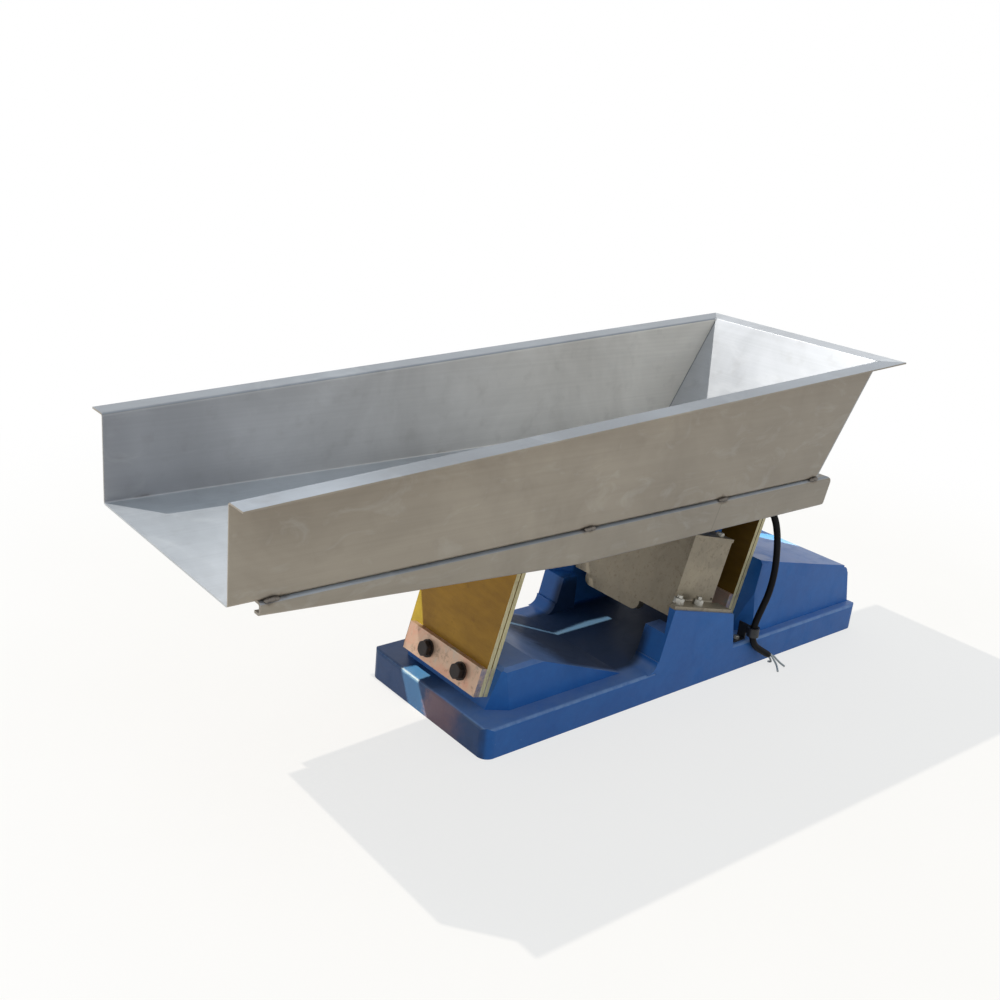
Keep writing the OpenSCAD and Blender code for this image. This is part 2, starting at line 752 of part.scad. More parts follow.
module magnet_top_plate() {
    color("tan") at_magnet() difference() {
        union() {
            span([-half_d, -half_w, housing_h], [half_d + top_plate_over, half_w, housing_h + housing_t]);
            // tapped blocks under the screws
            top_screw_places() span([-7, -7, housing_h - 9], [7, 7, housing_h + 1]);
        }
        top_screw_places() translate([0, 0, housing_h - 10]) cylinder(d = screw_d + 2*play, h = 20);
        gland_hole();
    }
}

module top_plate_screws() {
    color("gainsboro") at_magnet() top_screw_places()
        translate([0, 0, housing_h + housing_t]) rotate([0, 90, 0])
            hex_bolt(screw_d, 10, 4, 12, 1.2, housing_t + 8);
}

module housing_bolts() {
    color("gainsboro") at_magnet() for (x = foot_bolt_x, s = [-1, 1])
        translate([x, s*(half_w + foot_w/2), housing_t]) {
            rotate([0, 90, 0]) hex_bolt(foot_bolt_d, foot_bolt_af, 6.5, 16, 1.6, housing_t + 22);
            translate([0, 0, 2]) cylinder(d = foot_bolt_d, h = foot_stud_h - housing_t - 2);
        }
}

core_bolt_pitch = 62;
core_bolt_d = 8;
core_head_d = 16;
core_head_h = 4;

module core_bolt_holes(length) {
    for (z = [-core_bolt_pitch/2, core_bolt_pitch/2], y = [-stack_w/2 + 12, stack_w/2 - 12])
        translate([0, y, z]) rotate([0, 90, 0]) cylinder(d = core_bolt_d + 2*play, h = length);
}

// Thick plate behind the housing's front that carries the core and hangs below the skirt
module magnet_carrier() {
    r = 12;
    low = -housing_skirt - carrier_drop;
    color("darkgray") at_magnet() difference() {
        translate([-half_d + housing_t, carrier_mid_y, 0]) along_x(0, carrier_t) {
            translate([-carrier_w/2, low + r]) square([carrier_w, housing_h - 12 - low - r]);
            translate([-carrier_w/2 + r, low]) square([carrier_w - 2*r, r + 1]);
            for (y = [-carrier_w/2 + r, carrier_w/2 - r]) translate([y, low + r]) circle(r = r);
        }
        translate([-half_d, 0, core_mid_z]) core_bolt_holes(40);
        for (z = [-core_bolt_pitch/2, core_bolt_pitch/2], y = [-stack_w/2 + 12, stack_w/2 - 12])
            translate([-half_d + housing_t, y, core_mid_z + z]) rotate([0, 90, 0])
                cylinder(d1 = core_head_d + 4*play, d2 = core_bolt_d + 2*play, h = core_head_h + play);
    }
}

// Stack of E laminations, with its three legs towards the armature
module magnet_core() {
    window = (core_h - 4*core_leg)/2;
    color("dimgray") at_magnet() difference() {
        span([core_front_x, -stack_w/2, core_z], [half_d, stack_w/2, core_z + core_h]);
        for (z = [core_z + core_leg, core_z + core_h - core_leg - window])
            span([core_front_x + core_back, -stack_w, z], [half_d + 1, stack_w, z + window]);
        translate([core_front_x - 1, 0, core_mid_z]) core_bolt_holes(core_back + 2);
    }
}

// Coil wound round the middle leg
module magnet_coil() {
    window = (core_h - 4*core_leg)/2;
    low = core_z + core_leg + coil_fit/2;
    high = core_z + core_h - core_leg - coil_fit/2;
    leg_low = core_z + core_leg + window - coil_fit/2;
    leg_high = core_z + core_h - core_leg - window + coil_fit/2;
    from = core_front_x + core_back + 1;
    color("saddlebrown") at_magnet() difference() {
        span([from, -stack_w/2 - window, low], [from + coil_l, stack_w/2 + window, high]);
        span([from - 1, -stack_w/2 - coil_fit/2, leg_low], [from + coil_l + 1, stack_w/2 + coil_fit/2, leg_high]);
    }
}

// Countersunk screws under the housing's front
module core_bolts() {
    color("dimgray") at_magnet()
        for (z = [-core_bolt_pitch/2, core_bolt_pitch/2], y = [-stack_w/2 + 12, stack_w/2 - 12])
            translate([-half_d + housing_t + play, y, core_mid_z + z]) rotate([0, 90, 0]) {
                cylinder(d1 = core_head_d, d2 = core_bolt_d, h = core_head_h);
                cylinder(d = core_bolt_d, h = carrier_t + core_back - 2);
            }
}

// ---- Armature ----

module armature_holes(from, to) {
    for (z = [-core_bolt_pitch/2, core_bolt_pitch/2])
        translate([from, 0, core_mid_z + z]) rotate([0, 90, 0])
            cylinder(d = core_bolt_d + 2*play, h = to - from);
}

module armature() {
    color("gray") at_magnet() difference() {
        span([armature_x, -stack_w/2, core_z], [armature_x + armature_t, stack_w/2, core_z + core_h]);
        armature_holes(armature_x + armature_t - 14, armature_x + armature_t + 1);
    }
}

// Plate that hangs from the trough's floor, with two ribs and a foot under the floor
module armature_bracket() {
    foot_t = 8;
    foot_front = 14;
    foot_l = 48;
    foot_w = hanger_w + 16;
    rib_inset = 6;
    rib_z = core_z + core_h/2;
    reach = (floor_under_z - magnet_z)/cos(drive_angle);
    top_x = magnet_x + tilt_pt(hanger_x, reach)[0];
    color("slategray") difference() {
        union() {
            intersection() {
                at_magnet() {
                    span([hanger_x, -hanger_w/2, core_z], [hanger_x + hanger_t, hanger_w/2, 2*reach]);
                    for (s = [-1, 1]) translate([0, s*(hanger_w/2 - rib_inset - rib_t/2), 0])
                        across(rib_t) polygon([[hanger_x + hanger_t, rib_z],
                            [hanger_x + hanger_t + rib_d, rib_z + rib_d],
                            [hanger_x + hanger_t + rib_d, 2*reach], [hanger_x + hanger_t, 2*reach]]);
                }
                span([-floor_l, -trough_w, 0], [floor_l, trough_w, floor_under_z - foot_t]);
            }
            span([top_x - foot_front, -foot_w/2, floor_under_z - foot_t],
                [top_x - foot_front + foot_l, foot_w/2, floor_under_z]);
        }
        at_magnet() armature_holes(hanger_x - 1, hanger_x + hanger_t + 1);
    }
}

module armature_bolts() {
    color("dimgray") at_magnet() for (z = [-core_bolt_pitch/2, core_bolt_pitch/2])
        translate([hanger_x + hanger_t, 0, core_mid_z + z]) mirror([1, 0, 0])
            hex_bolt(core_bolt_d, 13, 5.3, 16, 1.6, hanger_t + 12);
}

// ---- Cable ----

gland_af = 22;
gland_thread_d = 16;
gland_thread_l = 9;
gland_hex_h = 6;
gland_tip_d = 15;
// The cable's start, seen from the magnet's seat
gland_x = (cable_points[0][0] - magnet_x)*cos(drive_angle) - (cable_points[0][2] - magnet_z)*sin(drive_angle);
gland_z = (cable_points[0][0] - magnet_x)*sin(drive_angle) + (cable_points[0][2] - magnet_z)*cos(drive_angle);

module gland_hole() {
    translate([gland_x, cable_points[0][1], housing_h - 1])
        cylinder(d = gland_thread_d + 2*play, h = housing_t + 2);
}

module cable_gland() {
    seat_z = housing_h + housing_t;
    color("black") at_magnet() translate([gland_x, cable_points[0][1], seat_z]) {
        translate([0, 0, -gland_thread_l]) cylinder(d = gland_thread_d, h = gland_thread_l + eps);
        cylinder(d = gland_af/cos(30), h = gland_hex_h, $fn = 6);
        translate([0, 0, gland_hex_h]) cylinder(d1 = gland_af - 1, d2 = gland_tip_d, h = gland_z - seat_z - gland_hex_h);
    }
}

// Strip clip: an eye round the cable, an upright and a foot screwed to the plinth
clip_point = 18;
clip_t = 2;
clip_w = 14;
clip_foot_l = 24;
clip_screw_d = 5;
clip_eye_t = 2.5;
clip_fit = 1.5;
clip_at = cable_points[clip_point];
clip_y = -base_w/2 + cast_edge_r + 2;
clip_screw_x = clip_at[0] - clip_foot_l/2;
clip_screw_y = clip_y + clip_w/2;

module clip_hole() {
    translate([clip_screw_x, clip_screw_y, plinth_h - 12]) cylinder(d = clip_screw_d + 2*play, h = 14);
}

module cable_clip() {
    eye_r = cable_d/2 + clip_fit;
    low = clip_at[2] - clip_w/2;
    high = clip_at[2] + clip_w/2;
    color("dimgray") difference() {
        union() {
            translate([clip_at[0], clip_at[1], low]) cylinder(r = eye_r + clip_eye_t, h = clip_w);
            span([clip_at[0] - clip_t/2, clip_at[1] + eye_r, low], [clip_at[0] + clip_t/2, clip_y + 1, high]);
            span([clip_at[0] - clip_t/2, clip_y, plinth_h], [clip_at[0] + clip_t/2, clip_y + clip_w, high]);
            span([clip_at[0] - clip_foot_l, clip_y, plinth_h], [clip_at[0], clip_y + clip_w, plinth_h + clip_t]);
        }
        translate([clip_at[0], clip_at[1], low - 1]) cylinder(r = eye_r, h = clip_w + 2);
        translate([clip_screw_x, clip_screw_y, plinth_h - 1]) cylinder(d = clip_screw_d + 2*play, h = clip_t + 2);
    }
}

module clip_screw() {
    color("silver") translate([clip_screw_x, clip_screw_y, plinth_h + clip_t]) rotate([0, 90, 0])
        hex_bolt(clip_screw_d, 8, 3.5, 10, 1, clip_t + 9);
}

// Round tube swept along a list of points
function unit(v) = v/norm(v);
function heading(p, i) = unit(p[min(i + 1, len(p) - 1)] - p[max(i - 1, 0)]);
function side_of(t) = unit(cross(t, [0.31, 0.93, 0.17]));
function ring(p, i, r, n) = let(t = heading(p, i), a = side_of(t), b = cross(t, a))
    [for (k = [0:n - 1]) p[i] + r*(cos(360*k/n)*a + sin(360*k/n)*b)];
module tube(p, r, n) {
    m = len(p);
    polyhedron(
        points = [for (i = [0:m - 1]) each ring(p, i, r, n)],
        faces = concat(
            [[for (k = [0:n - 1]) k]],
            [for (i = [0:m - 2], k = [0:n - 1])
                let(a = i*n + k, b = i*n + (k + 1) % n) [a, a + n, b + n, b]],
            [[for (k = [n - 1:-1:0]) (m - 1)*n + k]]),
        convexity = 6);
}

module cable() {
    color("black") tube(cable_points, cable_d/2, cable_sides);
}

// Each lead starts in the cable's end face and runs straight out of it before it droops
module cable_leads() {
    n = len(cable_points) - 1;
    t = heading(cable_points, n);
    a = side_of(t);
    b = cross(t, a);
    color("lightgray") for (i = [0:len(lead_points) - 1]) {
        start = cable_points[n] + lead_spread*(cos(90 + 120*i)*a + sin(90 + 120*i)*b);
        tube(concat([start, start + lead_stub*t], lead_points[i]), lead_d/2, 8);
    }
}

trough_pan();
trough_back_plate();
near_rail();
far_rail();
spring_bracket(front_foot_x);  // front_spring_bracket
spring_bracket(rear_foot_x);  // rear_spring_bracket
upper_clamp(front_foot_x);  // front_upper_clamp
upper_clamp(rear_foot_x);  // rear_upper_clamp
upper_bolts(front_foot_x);  // front_upper_bolts
upper_bolts(rear_foot_x);  // rear_upper_bolts
armature_bracket();
armature();
armature_bolts();
base_casting();
leaf(front_foot_x, -pack_t/2);  // front_leaf_outer
leaf(front_foot_x, shim_t/2);  // front_leaf_inner
leaf(rear_foot_x, -pack_t/2);  // rear_leaf_outer
leaf(rear_foot_x, shim_t/2);  // rear_leaf_inner
lower_shim(front_foot_x);  // front_lower_shim
lower_shim(rear_foot_x);  // rear_lower_shim
upper_shim(front_foot_x);  // front_upper_shim
upper_shim(rear_foot_x);  // rear_upper_shim
lower_clamp(front_foot_x);  // front_lower_clamp
lower_clamp(rear_foot_x);  // rear_lower_clamp
lower_bolts(front_foot_x);  // front_lower_bolts
lower_bolts(rear_foot_x);  // rear_lower_bolts
magnet_housing();
magnet_top_plate();
top_plate_screws();
housing_bolts();
magnet_carrier();
magnet_core();
magnet_coil();
core_bolts();
cable_gland();
cable_clip();
clip_screw();
cable();
cable_leads();
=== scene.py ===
"""Looks of the linear vibratory feeder: materials, weld beads, springs, cable, floor and light."""

import json
import math

import bmesh
import bpy
from mathutils import Matrix, Vector

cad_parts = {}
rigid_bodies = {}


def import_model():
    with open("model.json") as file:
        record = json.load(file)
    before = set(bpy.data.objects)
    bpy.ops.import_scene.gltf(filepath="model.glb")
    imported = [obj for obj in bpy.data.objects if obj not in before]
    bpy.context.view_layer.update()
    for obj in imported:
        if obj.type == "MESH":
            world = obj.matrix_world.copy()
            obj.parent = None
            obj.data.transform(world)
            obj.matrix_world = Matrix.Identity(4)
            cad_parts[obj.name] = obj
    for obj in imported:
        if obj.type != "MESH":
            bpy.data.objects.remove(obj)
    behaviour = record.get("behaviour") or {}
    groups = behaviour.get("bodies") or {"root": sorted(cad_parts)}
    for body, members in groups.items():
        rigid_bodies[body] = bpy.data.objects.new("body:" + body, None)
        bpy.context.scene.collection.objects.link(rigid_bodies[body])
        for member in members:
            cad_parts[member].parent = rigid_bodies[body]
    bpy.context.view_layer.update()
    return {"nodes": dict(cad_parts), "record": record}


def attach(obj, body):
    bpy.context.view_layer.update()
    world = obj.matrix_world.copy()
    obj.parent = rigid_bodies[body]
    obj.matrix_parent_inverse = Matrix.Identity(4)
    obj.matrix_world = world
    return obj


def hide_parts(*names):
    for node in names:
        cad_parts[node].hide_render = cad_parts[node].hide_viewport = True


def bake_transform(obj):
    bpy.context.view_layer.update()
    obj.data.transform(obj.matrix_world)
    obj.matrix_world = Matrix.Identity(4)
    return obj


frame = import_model()
MM = 0.001


def point(x, y, z):
    """A point given in millimetres."""
    return Vector((x, y, z)) * MM


def srgb(r, g, b):
    """A colour of three 0 to 255 values, as the linear RGBA that the shaders take."""
    def linear(v):
        v /= 255
        return v / 12.92 if v <= 0.04045 else ((v + 0.055) / 1.055) ** 2.4
    return linear(r), linear(g), linear(b), 1.0


def shaded(tone, factor):
    """A tone of 0 to 255 values made lighter or darker by a factor, as linear RGBA."""
    return srgb(*[c * factor for c in tone])


# ---- Camera ----

CAMERA_AT = point(-1187.1, -1026.3, 772.5)
CAMERA_RIGHT = Vector((0.7730, -0.6275, 0.0932))
CAMERA_BACK = Vector((-0.6177, -0.7108, 0.3366))
LENS_MM = 40.707


def make_camera():
    data = bpy.data.cameras.new("camera")
    data.lens = LENS_MM
    data.sensor_width = 36
    data.clip_start, data.clip_end = 0.05, 60
    camera = bpy.data.objects.new("camera", data)
    bpy.context.scene.collection.objects.link(camera)
    back = CAMERA_BACK.normalized()
    up = back.cross(CAMERA_RIGHT).normalized()
    right = up.cross(back)
    turn = Matrix((right, up, back)).transposed()
    camera.matrix_world = Matrix.Translation(CAMERA_AT) @ turn.to_4x4()
    bpy.context.scene.camera = camera


make_camera()


# ---- Mesh helpers ----

def mesh_object(name, bm, material, smooth=True):
    """A new object from a bmesh, all its faces shaded smooth, or flat when smooth is False."""
    mesh = bpy.data.meshes.new(name)
    bmesh.ops.recalc_face_normals(bm, faces=bm.faces)
    bm.to_mesh(mesh)
    bm.free()
    for polygon in mesh.polygons:
        polygon.use_smooth = smooth
    mesh.materials.append(material)
    piece = bpy.data.objects.new(name, mesh)
    bpy.context.scene.collection.objects.link(piece)
    return piece


def smooth_route(points, steps):
    """Points on one smooth curve through the given points."""
    knots = [2 * points[0] - points[1], *points, 2 * points[-1] - points[-2]]
    route = []
    for a, b, c, d in zip(knots, knots[1:], knots[2:], knots[3:]):
        for i in range(steps):
            t = i / steps
            route.append(0.5 * (2 * b + (c - a) * t + (2 * a - 5 * b + 4 * c - d) * t * t
                                + (3 * b - a - 3 * c + d) * t ** 3))
    return route + [points[-1]]


def route_frames(route):
    """Direction and side vector at each point of a route, turned as little as possible."""
    side = None
    for i, at in enumerate(route):
        ahead = (route[min(i + 1, len(route) - 1)] - route[max(i - 1, 0)]).normalized()
        if side is None:
            side = ahead.orthogonal().normalized()
        side = (side - ahead * side.dot(ahead)).normalized()
        yield at, ahead, side


def tube(route, radius_at, sides):
    """A bmesh tube along a route, closed at both ends; radius_at(i, k) is in metres."""
    bm = bmesh.new()
    rings = []
    for i, (at, ahead, side) in enumerate(route_frames(route)):
        other = ahead.cross(side)
        rings.append([
            bm.verts.new(at + radius_at(i, k) * (side * math.cos(2 * math.pi * k / sides)
                                                 + other * math.sin(2 * math.pi * k / sides)))
            for k in range(sides)])
    for low, high in zip(rings, rings[1:]):
        for k in range(sides):
            bm.faces.new((low[k], low[(k + 1) % sides], high[(k + 1) % sides], high[k]))
    for ring, at in ((rings[0], route[0]), (rings[-1], route[-1])):
        middle = bm.verts.new(at)
        for k in range(sides):
            bm.faces.new((ring[k], ring[(k + 1) % sides], middle))
    return bm


def route_length(route):
    return sum((b - a).length for a, b in zip(route, route[1:]))


def wobble(*numbers):
    """A fixed pseudo-random value from -1 to 1 for the given numbers."""
    v = math.sin(sum(n * f for n, f in zip(numbers, (12.9898, 78.233, 37.719)))) * 43758.5453
    return 2 * (v - math.floor(v)) - 1


# ---- Materials ----

SOCKETS = {"metallic": "Metallic", "coat_weight": "Coat Weight", "coat_roughness": "Coat Roughness",
           "specular": "Specular IOR Level"}


class Shader:
    """A node material with short calls for the textures that the pieces share."""

    def __init__(self, name, **settings):
        self.material = bpy.data.materials.new(name)
        self.material.use_nodes = True
        self.tree = self.material.node_tree
        self.bsdf = self.tree.nodes["Principled BSDF"]
        self.coords = self.add("ShaderNodeTexCoord").outputs["Object"]
        self.bumps = None
        for setting, value in settings.items():
            self.bsdf.inputs[SOCKETS[setting]].default_value = value

    def add(self, kind, **fields):
        node = self.tree.nodes.new(kind)
        for field, value in fields.items():
            setattr(node, field, value)
        return node

    def put(self, socket, value):
        """Sets or links one input socket."""
        if isinstance(value, bpy.types.NodeSocket):
            self.tree.links.new(value, socket)
        else:
            socket.default_value = value

    def mapped(self, stretch, shift=(0, 0, 0), turn=(0, 0, 0)):
        node = self.add("ShaderNodeMapping")
        self.put(node.inputs["Vector"], self.coords)
        node.inputs["Location"].default_value = shift
        node.inputs["Rotation"].default_value = turn
        node.inputs["Scale"].default_value = stretch
        return node.outputs["Vector"]

    def noise(self, stretch, detail=3, rough=0.55, shift=(0, 0, 0), turn=(0, 0, 0), distort=0):
        """Noise whose features are about 1/stretch metres along each axis."""
        node = self.add("ShaderNodeTexNoise")
        stretch = stretch if isinstance(stretch, tuple) else (stretch,) * 3
        self.put(node.inputs["Vector"], self.mapped(stretch, shift, turn))
        node.inputs["Scale"].default_value = 1
        node.inputs["Detail"].default_value = detail
        node.inputs["Roughness"].default_value = rough
        node.inputs["Distortion"].default_value = distort
        return node.outputs["Fac"]

    def range(self, value, low, high, to_low=0.0, to_high=1.0, smooth=False):
        node = self.add("ShaderNodeMapRange")
        node.interpolation_type = "SMOOTHSTEP" if smooth else "LINEAR"
        for socket, v in zip(("Value", "From Min", "From Max", "To Min", "To Max"),
                             (value, low, high, to_low, to_high)):
            self.put(node.inputs[socket], v)
        return node.outputs["Result"]

    def math(self, operation, *values):
        node = self.add("ShaderNodeMath", operation=operation)
        for socket, v in zip(node.inputs, values):
            self.put(socket, v)
        return node.outputs[0]

    def mix(self, share, a, b, blend="MIX"):
        node = self.add("ShaderNodeMix", data_type="RGBA", blend_type=blend)
        self.put(node.inputs[0], share)
        self.put(node.inputs[6], a)
        self.put(node.inputs[7], b)
        return node.outputs[2]

    def along(self, axis):
        """One coordinate of the surface point, in metres."""
        node = self.add("ShaderNodeSeparateXYZ")
        self.put(node.inputs[0], self.coords)
        return node.outputs[axis]

    def facing(self, axis):
        """One component of the surface's own normal."""
        node = self.add("ShaderNodeSeparateXYZ")
        self.put(node.inputs[0], self.add("ShaderNodeTexCoord").outputs["Normal"])
        return node.outputs[axis]

    def bump(self, height, depth, strength):
        """Adds relief; depth is in metres."""
        node = self.add("ShaderNodeBump")
        node.inputs["Strength"].default_value = strength
        node.inputs["Distance"].default_value = depth
        self.put(node.inputs["Height"], height)
        if self.bumps is not None:
            self.put(node.inputs["Normal"], self.bumps)
        self.bumps = node.outputs["Normal"]
        self.put(self.bsdf.inputs["Normal"], self.bumps)

    def colour(self, value):
        self.put(self.bsdf.inputs["Base Color"], value)

    def rough(self, value):
        self.put(self.bsdf.inputs["Roughness"], value)


# Features to the metre along the rolled grain: of its broad streaks, and of its fine hairlines
GRAIN_LONG, GRAIN_FINE = 2.2, 15
SHEET_METALLIC = 0.30
# Painted light and shade: the one stainless sheet gets a tone per kind of face (inside, outside, flange,
# back plate, rail), set for how light falls there; the darker, warmer outside and rail tones are painted
# shade with a painted reflection of warm ground.
INNER_TONE, OUTER_TONE, FLANGE_TONE = (192, 195, 199), (159, 149, 135), (146, 151, 158)
BACK_TONE, RAIL_TONE = (182, 184, 188), (154, 145, 132)
# Painted light: the walls' inner faces go from a darker tone at the front to a lighter one at the rear
WALL_TONES = (168, 169, 174), (228, 222, 212)  # the trough walls' inner faces, at the front and the rear
OUTER_REAR = 0.925  # how much darker the outer sides' painted shade is at the rear
# Painted light and shade on the flanges' upper faces: factors on their tone at the front, the middle and
# the rear of the near one, and of the far one
RIM_FRONT, RIM_MIDDLE, RIM_REAR, RIM_FAR = 1.11, 0.86, 0.98, 0.92
WELD_X, WELD_Y, WELD_Z = (-703, -284, -42, 155), 153.6, 300.4
SEAM_Z = 0.3005  # in metres, the middle of the welds' heat colours


def sheet_zones(s):
    """Where the sheet is: 1 on the outer sides, and 1 on the flanges' upper faces."""
    beyond = s.range(s.math("ABSOLUTE", s.along(1)), 0.1503, 0.1506)
    lying = s.range(s.facing(2), 0.45, 0.6)
    return s.math("MULTIPLY", beyond, s.math("SUBTRACT", 1.0, lying)), s.math("MULTIPLY", beyond, lying)


def stainless(name, inner, outer, flange, grain_axis=0, welds=True, crease=False):
    """Stainless sheet: grain, clouds, spots and smears, with painted light and shade in a tone per
    face, lighter inside and darker and warmer outside, with a painted reflection of warm ground.

    With welds it is the trough's own sheet, with weld tint and painted light along its walls' inner
    faces; without, it is the back plate, dark in its corners. crease adds the rail's line.
    """
    s = Shader(name, metallic=SHEET_METALLIC)
    coarse = [260, 260, 260]
    fine = [2400, 2400, 2400]
    coarse[grain_axis], fine[grain_axis] = GRAIN_LONG, GRAIN_FINE
    streak = s.noise(tuple(coarse), 3, 0.6)
    hair = s.noise(tuple(fine), 1)
    cloud = s.noise(4.2, 4, 0.6, distort=0.8)
    spots = s.noise(34, 3, 0.6, shift=(3, 1, 7))
    smear = s.noise((16, 12, 30), 4, 0.6, shift=(1, 5, 2), distort=1.4)
    outside, lying = sheet_zones(s)
    upright = s.range(s.math("ABSOLUTE", s.facing(1)), 0.5, 0.7)
    # Painted light along the walls' inner faces, lighter towards the rear
    wall = s.mix(s.range(s.along(0), -0.74, 0.16), srgb(*WALL_TONES[0]), srgb(*WALL_TONES[1]))
    base = s.mix(s.math("MULTIPLY", upright, float(welds)), srgb(*inner), wall)
    # Painted shade: the outer sides darker and warmer than the inside, and darker still towards the rear
    sides = s.mix(s.range(s.along(0), -0.3, 0.25), srgb(*outer), shaded(outer, OUTER_REAR))
    base = s.mix(outside, base, sides)
    # Painted light and shade along the flanges' upper faces
    rim = s.mix(s.range(s.along(0), -0.66, -0.52, smooth=True), shaded(flange, RIM_FRONT),
                shaded(flange, RIM_MIDDLE))
    rim = s.mix(s.range(s.along(0), -0.1, 0.15, smooth=True), rim, shaded(flange, RIM_REAR))
    rim = s.mix(s.range(s.along(1), -0.05, 0.05), rim, shaded(flange, RIM_FAR))
    base = s.mix(lying, base, rim)
    base = s.mix(s.range(cloud, 0.34, 0.66, 0, 0.16), base, srgb(255, 255, 255), "SOFT_LIGHT")
    base = s.mix(s.range(cloud, 0.62, 0.36, 0, 0.17), base, srgb(96, 92, 90), "MULTIPLY")
    base = s.mix(s.range(streak, 0.38, 0.66, 0, 0.055), base, srgb(104, 100, 96), "MULTIPLY")
    base = s.mix(s.range(spots, 0.56, 0.76, 0, 0.15), base, srgb(112, 103, 94))
    base = s.mix(s.range(smear, 0.55, 0.72, 0, 0.09), base, srgb(238, 238, 236))
    roughness = s.math("ADD", s.range(cloud, 0.3, 0.7, 0.36, 0.44), s.range(smear, 0.5, 0.75, 0, 0.10))
    if welds:
        base, roughness = weld_tint(s, base, roughness)
    if not welds:
        base = s.mix(s.math("MULTIPLY", corner_line(s), 0.6), base, srgb(78, 80, 84))
    if crease:
        base = s.mix(s.math("MULTIPLY", crease_line(s), 0.4), base, srgb(92, 86, 78))
    s.colour(base)
    s.rough(roughness)
    s.bump(hair, 0.000012, 0.6)
    s.bump(s.noise(2.6, 2, 0.4), 0.0012, 0.5)
    return s.material


def corner_line(s):
    """The dark joint where the back plate's front face meets the trough's walls."""
    return s.math("MULTIPLY", s.range(s.math("ABSOLUTE", s.along(1)), 0.1474, 0.1488),
                  s.range(s.facing(0), -0.2, -0.4))


def crease_line(s):
    """A dark slanted line down the near rail's web."""
    lean = s.math("MULTIPLY", s.math("SUBTRACT", s.along(2), 0.300), 0.34)
    off = s.math("ABSOLUTE", s.math("SUBTRACT", s.math("SUBTRACT", s.along(0), -0.045), lean))
    return s.math("MULTIPLY", s.range(off, 0.0011, 0.0004), s.range(s.along(1), -0.15, -0.151))


def weld_tint(s, base, roughness):
    """Heat colours round each weld stitch on the seam under the trough's walls."""
    side = s.math("ABSOLUTE", s.along(1))
    nearest = None
    for x in WELD_X:
        far = s.math("ABSOLUTE", s.math("SUBTRACT", s.along(0), x * MM))
        nearest = far if nearest is None else s.math("MINIMUM", nearest, far)
    off_seam = s.math("ABSOLUTE", s.math("SUBTRACT", s.along(2), SEAM_Z))
    ragged = s.range(s.noise(110, 2), 0.3, 0.7, -0.002, 0.002)
    spread = s.math("ADD", s.math("MULTIPLY", nearest, 0.34), s.math("ADD", off_seam, ragged))
    outside = s.range(side, 0.1495, 0.1505)
    tint = s.math("MULTIPLY", s.range(spread, 0.009, 0.0035, smooth=True), outside)
    soot = s.math("MULTIPLY", s.range(spread, 0.0065, 0.002, smooth=True), outside)
    base = s.mix(s.math("MULTIPLY", tint, 0.35), base, srgb(122, 100, 74))
    base = s.mix(s.math("MULTIPLY", soot, 0.7), base, srgb(60, 56, 56))
    return base, s.math("ADD", roughness, s.math("MULTIPLY", soot, 0.2))


def blue_paint():
    """Blue machine enamel on a casting: orange peel, scuffs, dust and oil, with painted sheen,
    highlight, shade and a reddish reflection.
    """
    s = Shader("blue_paint", coat_weight=0.06, coat_roughness=0.2, specular=0.24)
    cloud = s.noise(9, 4, 0.6, distort=0.5)
    fine = s.noise(70, 4, 0.6, shift=(4, 2, 1))
    dust = s.noise((26, 34, 20), 5, 0.68, shift=(8, 3, 5), distort=0.8)
    base = s.mix(s.range(cloud, 0.3, 0.7), srgb(34, 96, 170), srgb(46, 110, 184))
    base = s.mix(s.range(fine, 0.35, 0.7, 0, 0.25), base, srgb(32, 84, 150))
    lying = s.range(s.facing(2), 0.35, 0.95, 0.04, 0.10)
    base = s.mix(s.math("MULTIPLY", s.range(dust, 0.47, 0.72), lying), base, srgb(96, 112, 132))
    scuff = s.math("MULTIPLY", s.range(s.noise((240, 90, 240), 4, 0.7, shift=(2, 9, 4)), 0.66, 0.74),
                   s.range(s.noise(14, 2, shift=(5, 5, 1)), 0.5, 0.66))
    base = s.mix(s.math("MULTIPLY", scuff, 0.5), base, srgb(140, 160, 188))
    # The rust mask is a painted reddish reflection on the front face
    shade_and_oil, painted_shade, rust = painted_light_and_oil(s)
    # Painted sheen: the near side's upper faces, low on the casting, made paler and broken up by the
    # dust
    painted_sheen = s.math("MULTIPLY", s.range(s.facing(2), 0.2, 0.6), s.range(s.along(2), 0.14, 0.11))
    painted_sheen = s.math("MULTIPLY", painted_sheen, s.range(s.along(1), 0.03, -0.02))
    base = s.mix(s.math("MULTIPLY", painted_sheen, s.range(dust, 0.3, 0.6, 0.2, 0.34)), base, srgb(152, 168, 196))
    # Painted highlight along the plinth's rounded upper edge
    base = s.mix(s.math("MULTIPLY", painted_rim_highlight(s), 0.5), base, srgb(132, 164, 204))
    # Painted shade on the front face and the far half of the front upper faces
    base = s.mix(s.math("MULTIPLY", painted_shade, 0.68), base, srgb(26, 33, 54))
    # A painted reddish reflection on the front face, beside the front springs
    base = s.mix(s.math("MULTIPLY", rust, 0.6), base, srgb(150, 112, 108))
    # Painted shade, with oil's roughness, in the casting's low middle under the trough
    base = s.mix(s.math("MULTIPLY", shade_and_oil, 0.82), base, srgb(10, 14, 26))
    s.colour(base)
    s.rough(s.math("ADD", s.range(cloud, 0.3, 0.7, 0.34, 0.44),
                   s.math("ADD", s.range(dust, 0.5, 0.75, 0, 0.2), s.math("MULTIPLY", shade_and_oil, 0.3))))
    s.bump(s.noise(340, 2, 0.5), 0.00016, 0.55)
    s.bump(s.noise(22, 3, 0.5, shift=(1, 1, 1)), 0.0014, 0.45)
    return s.material


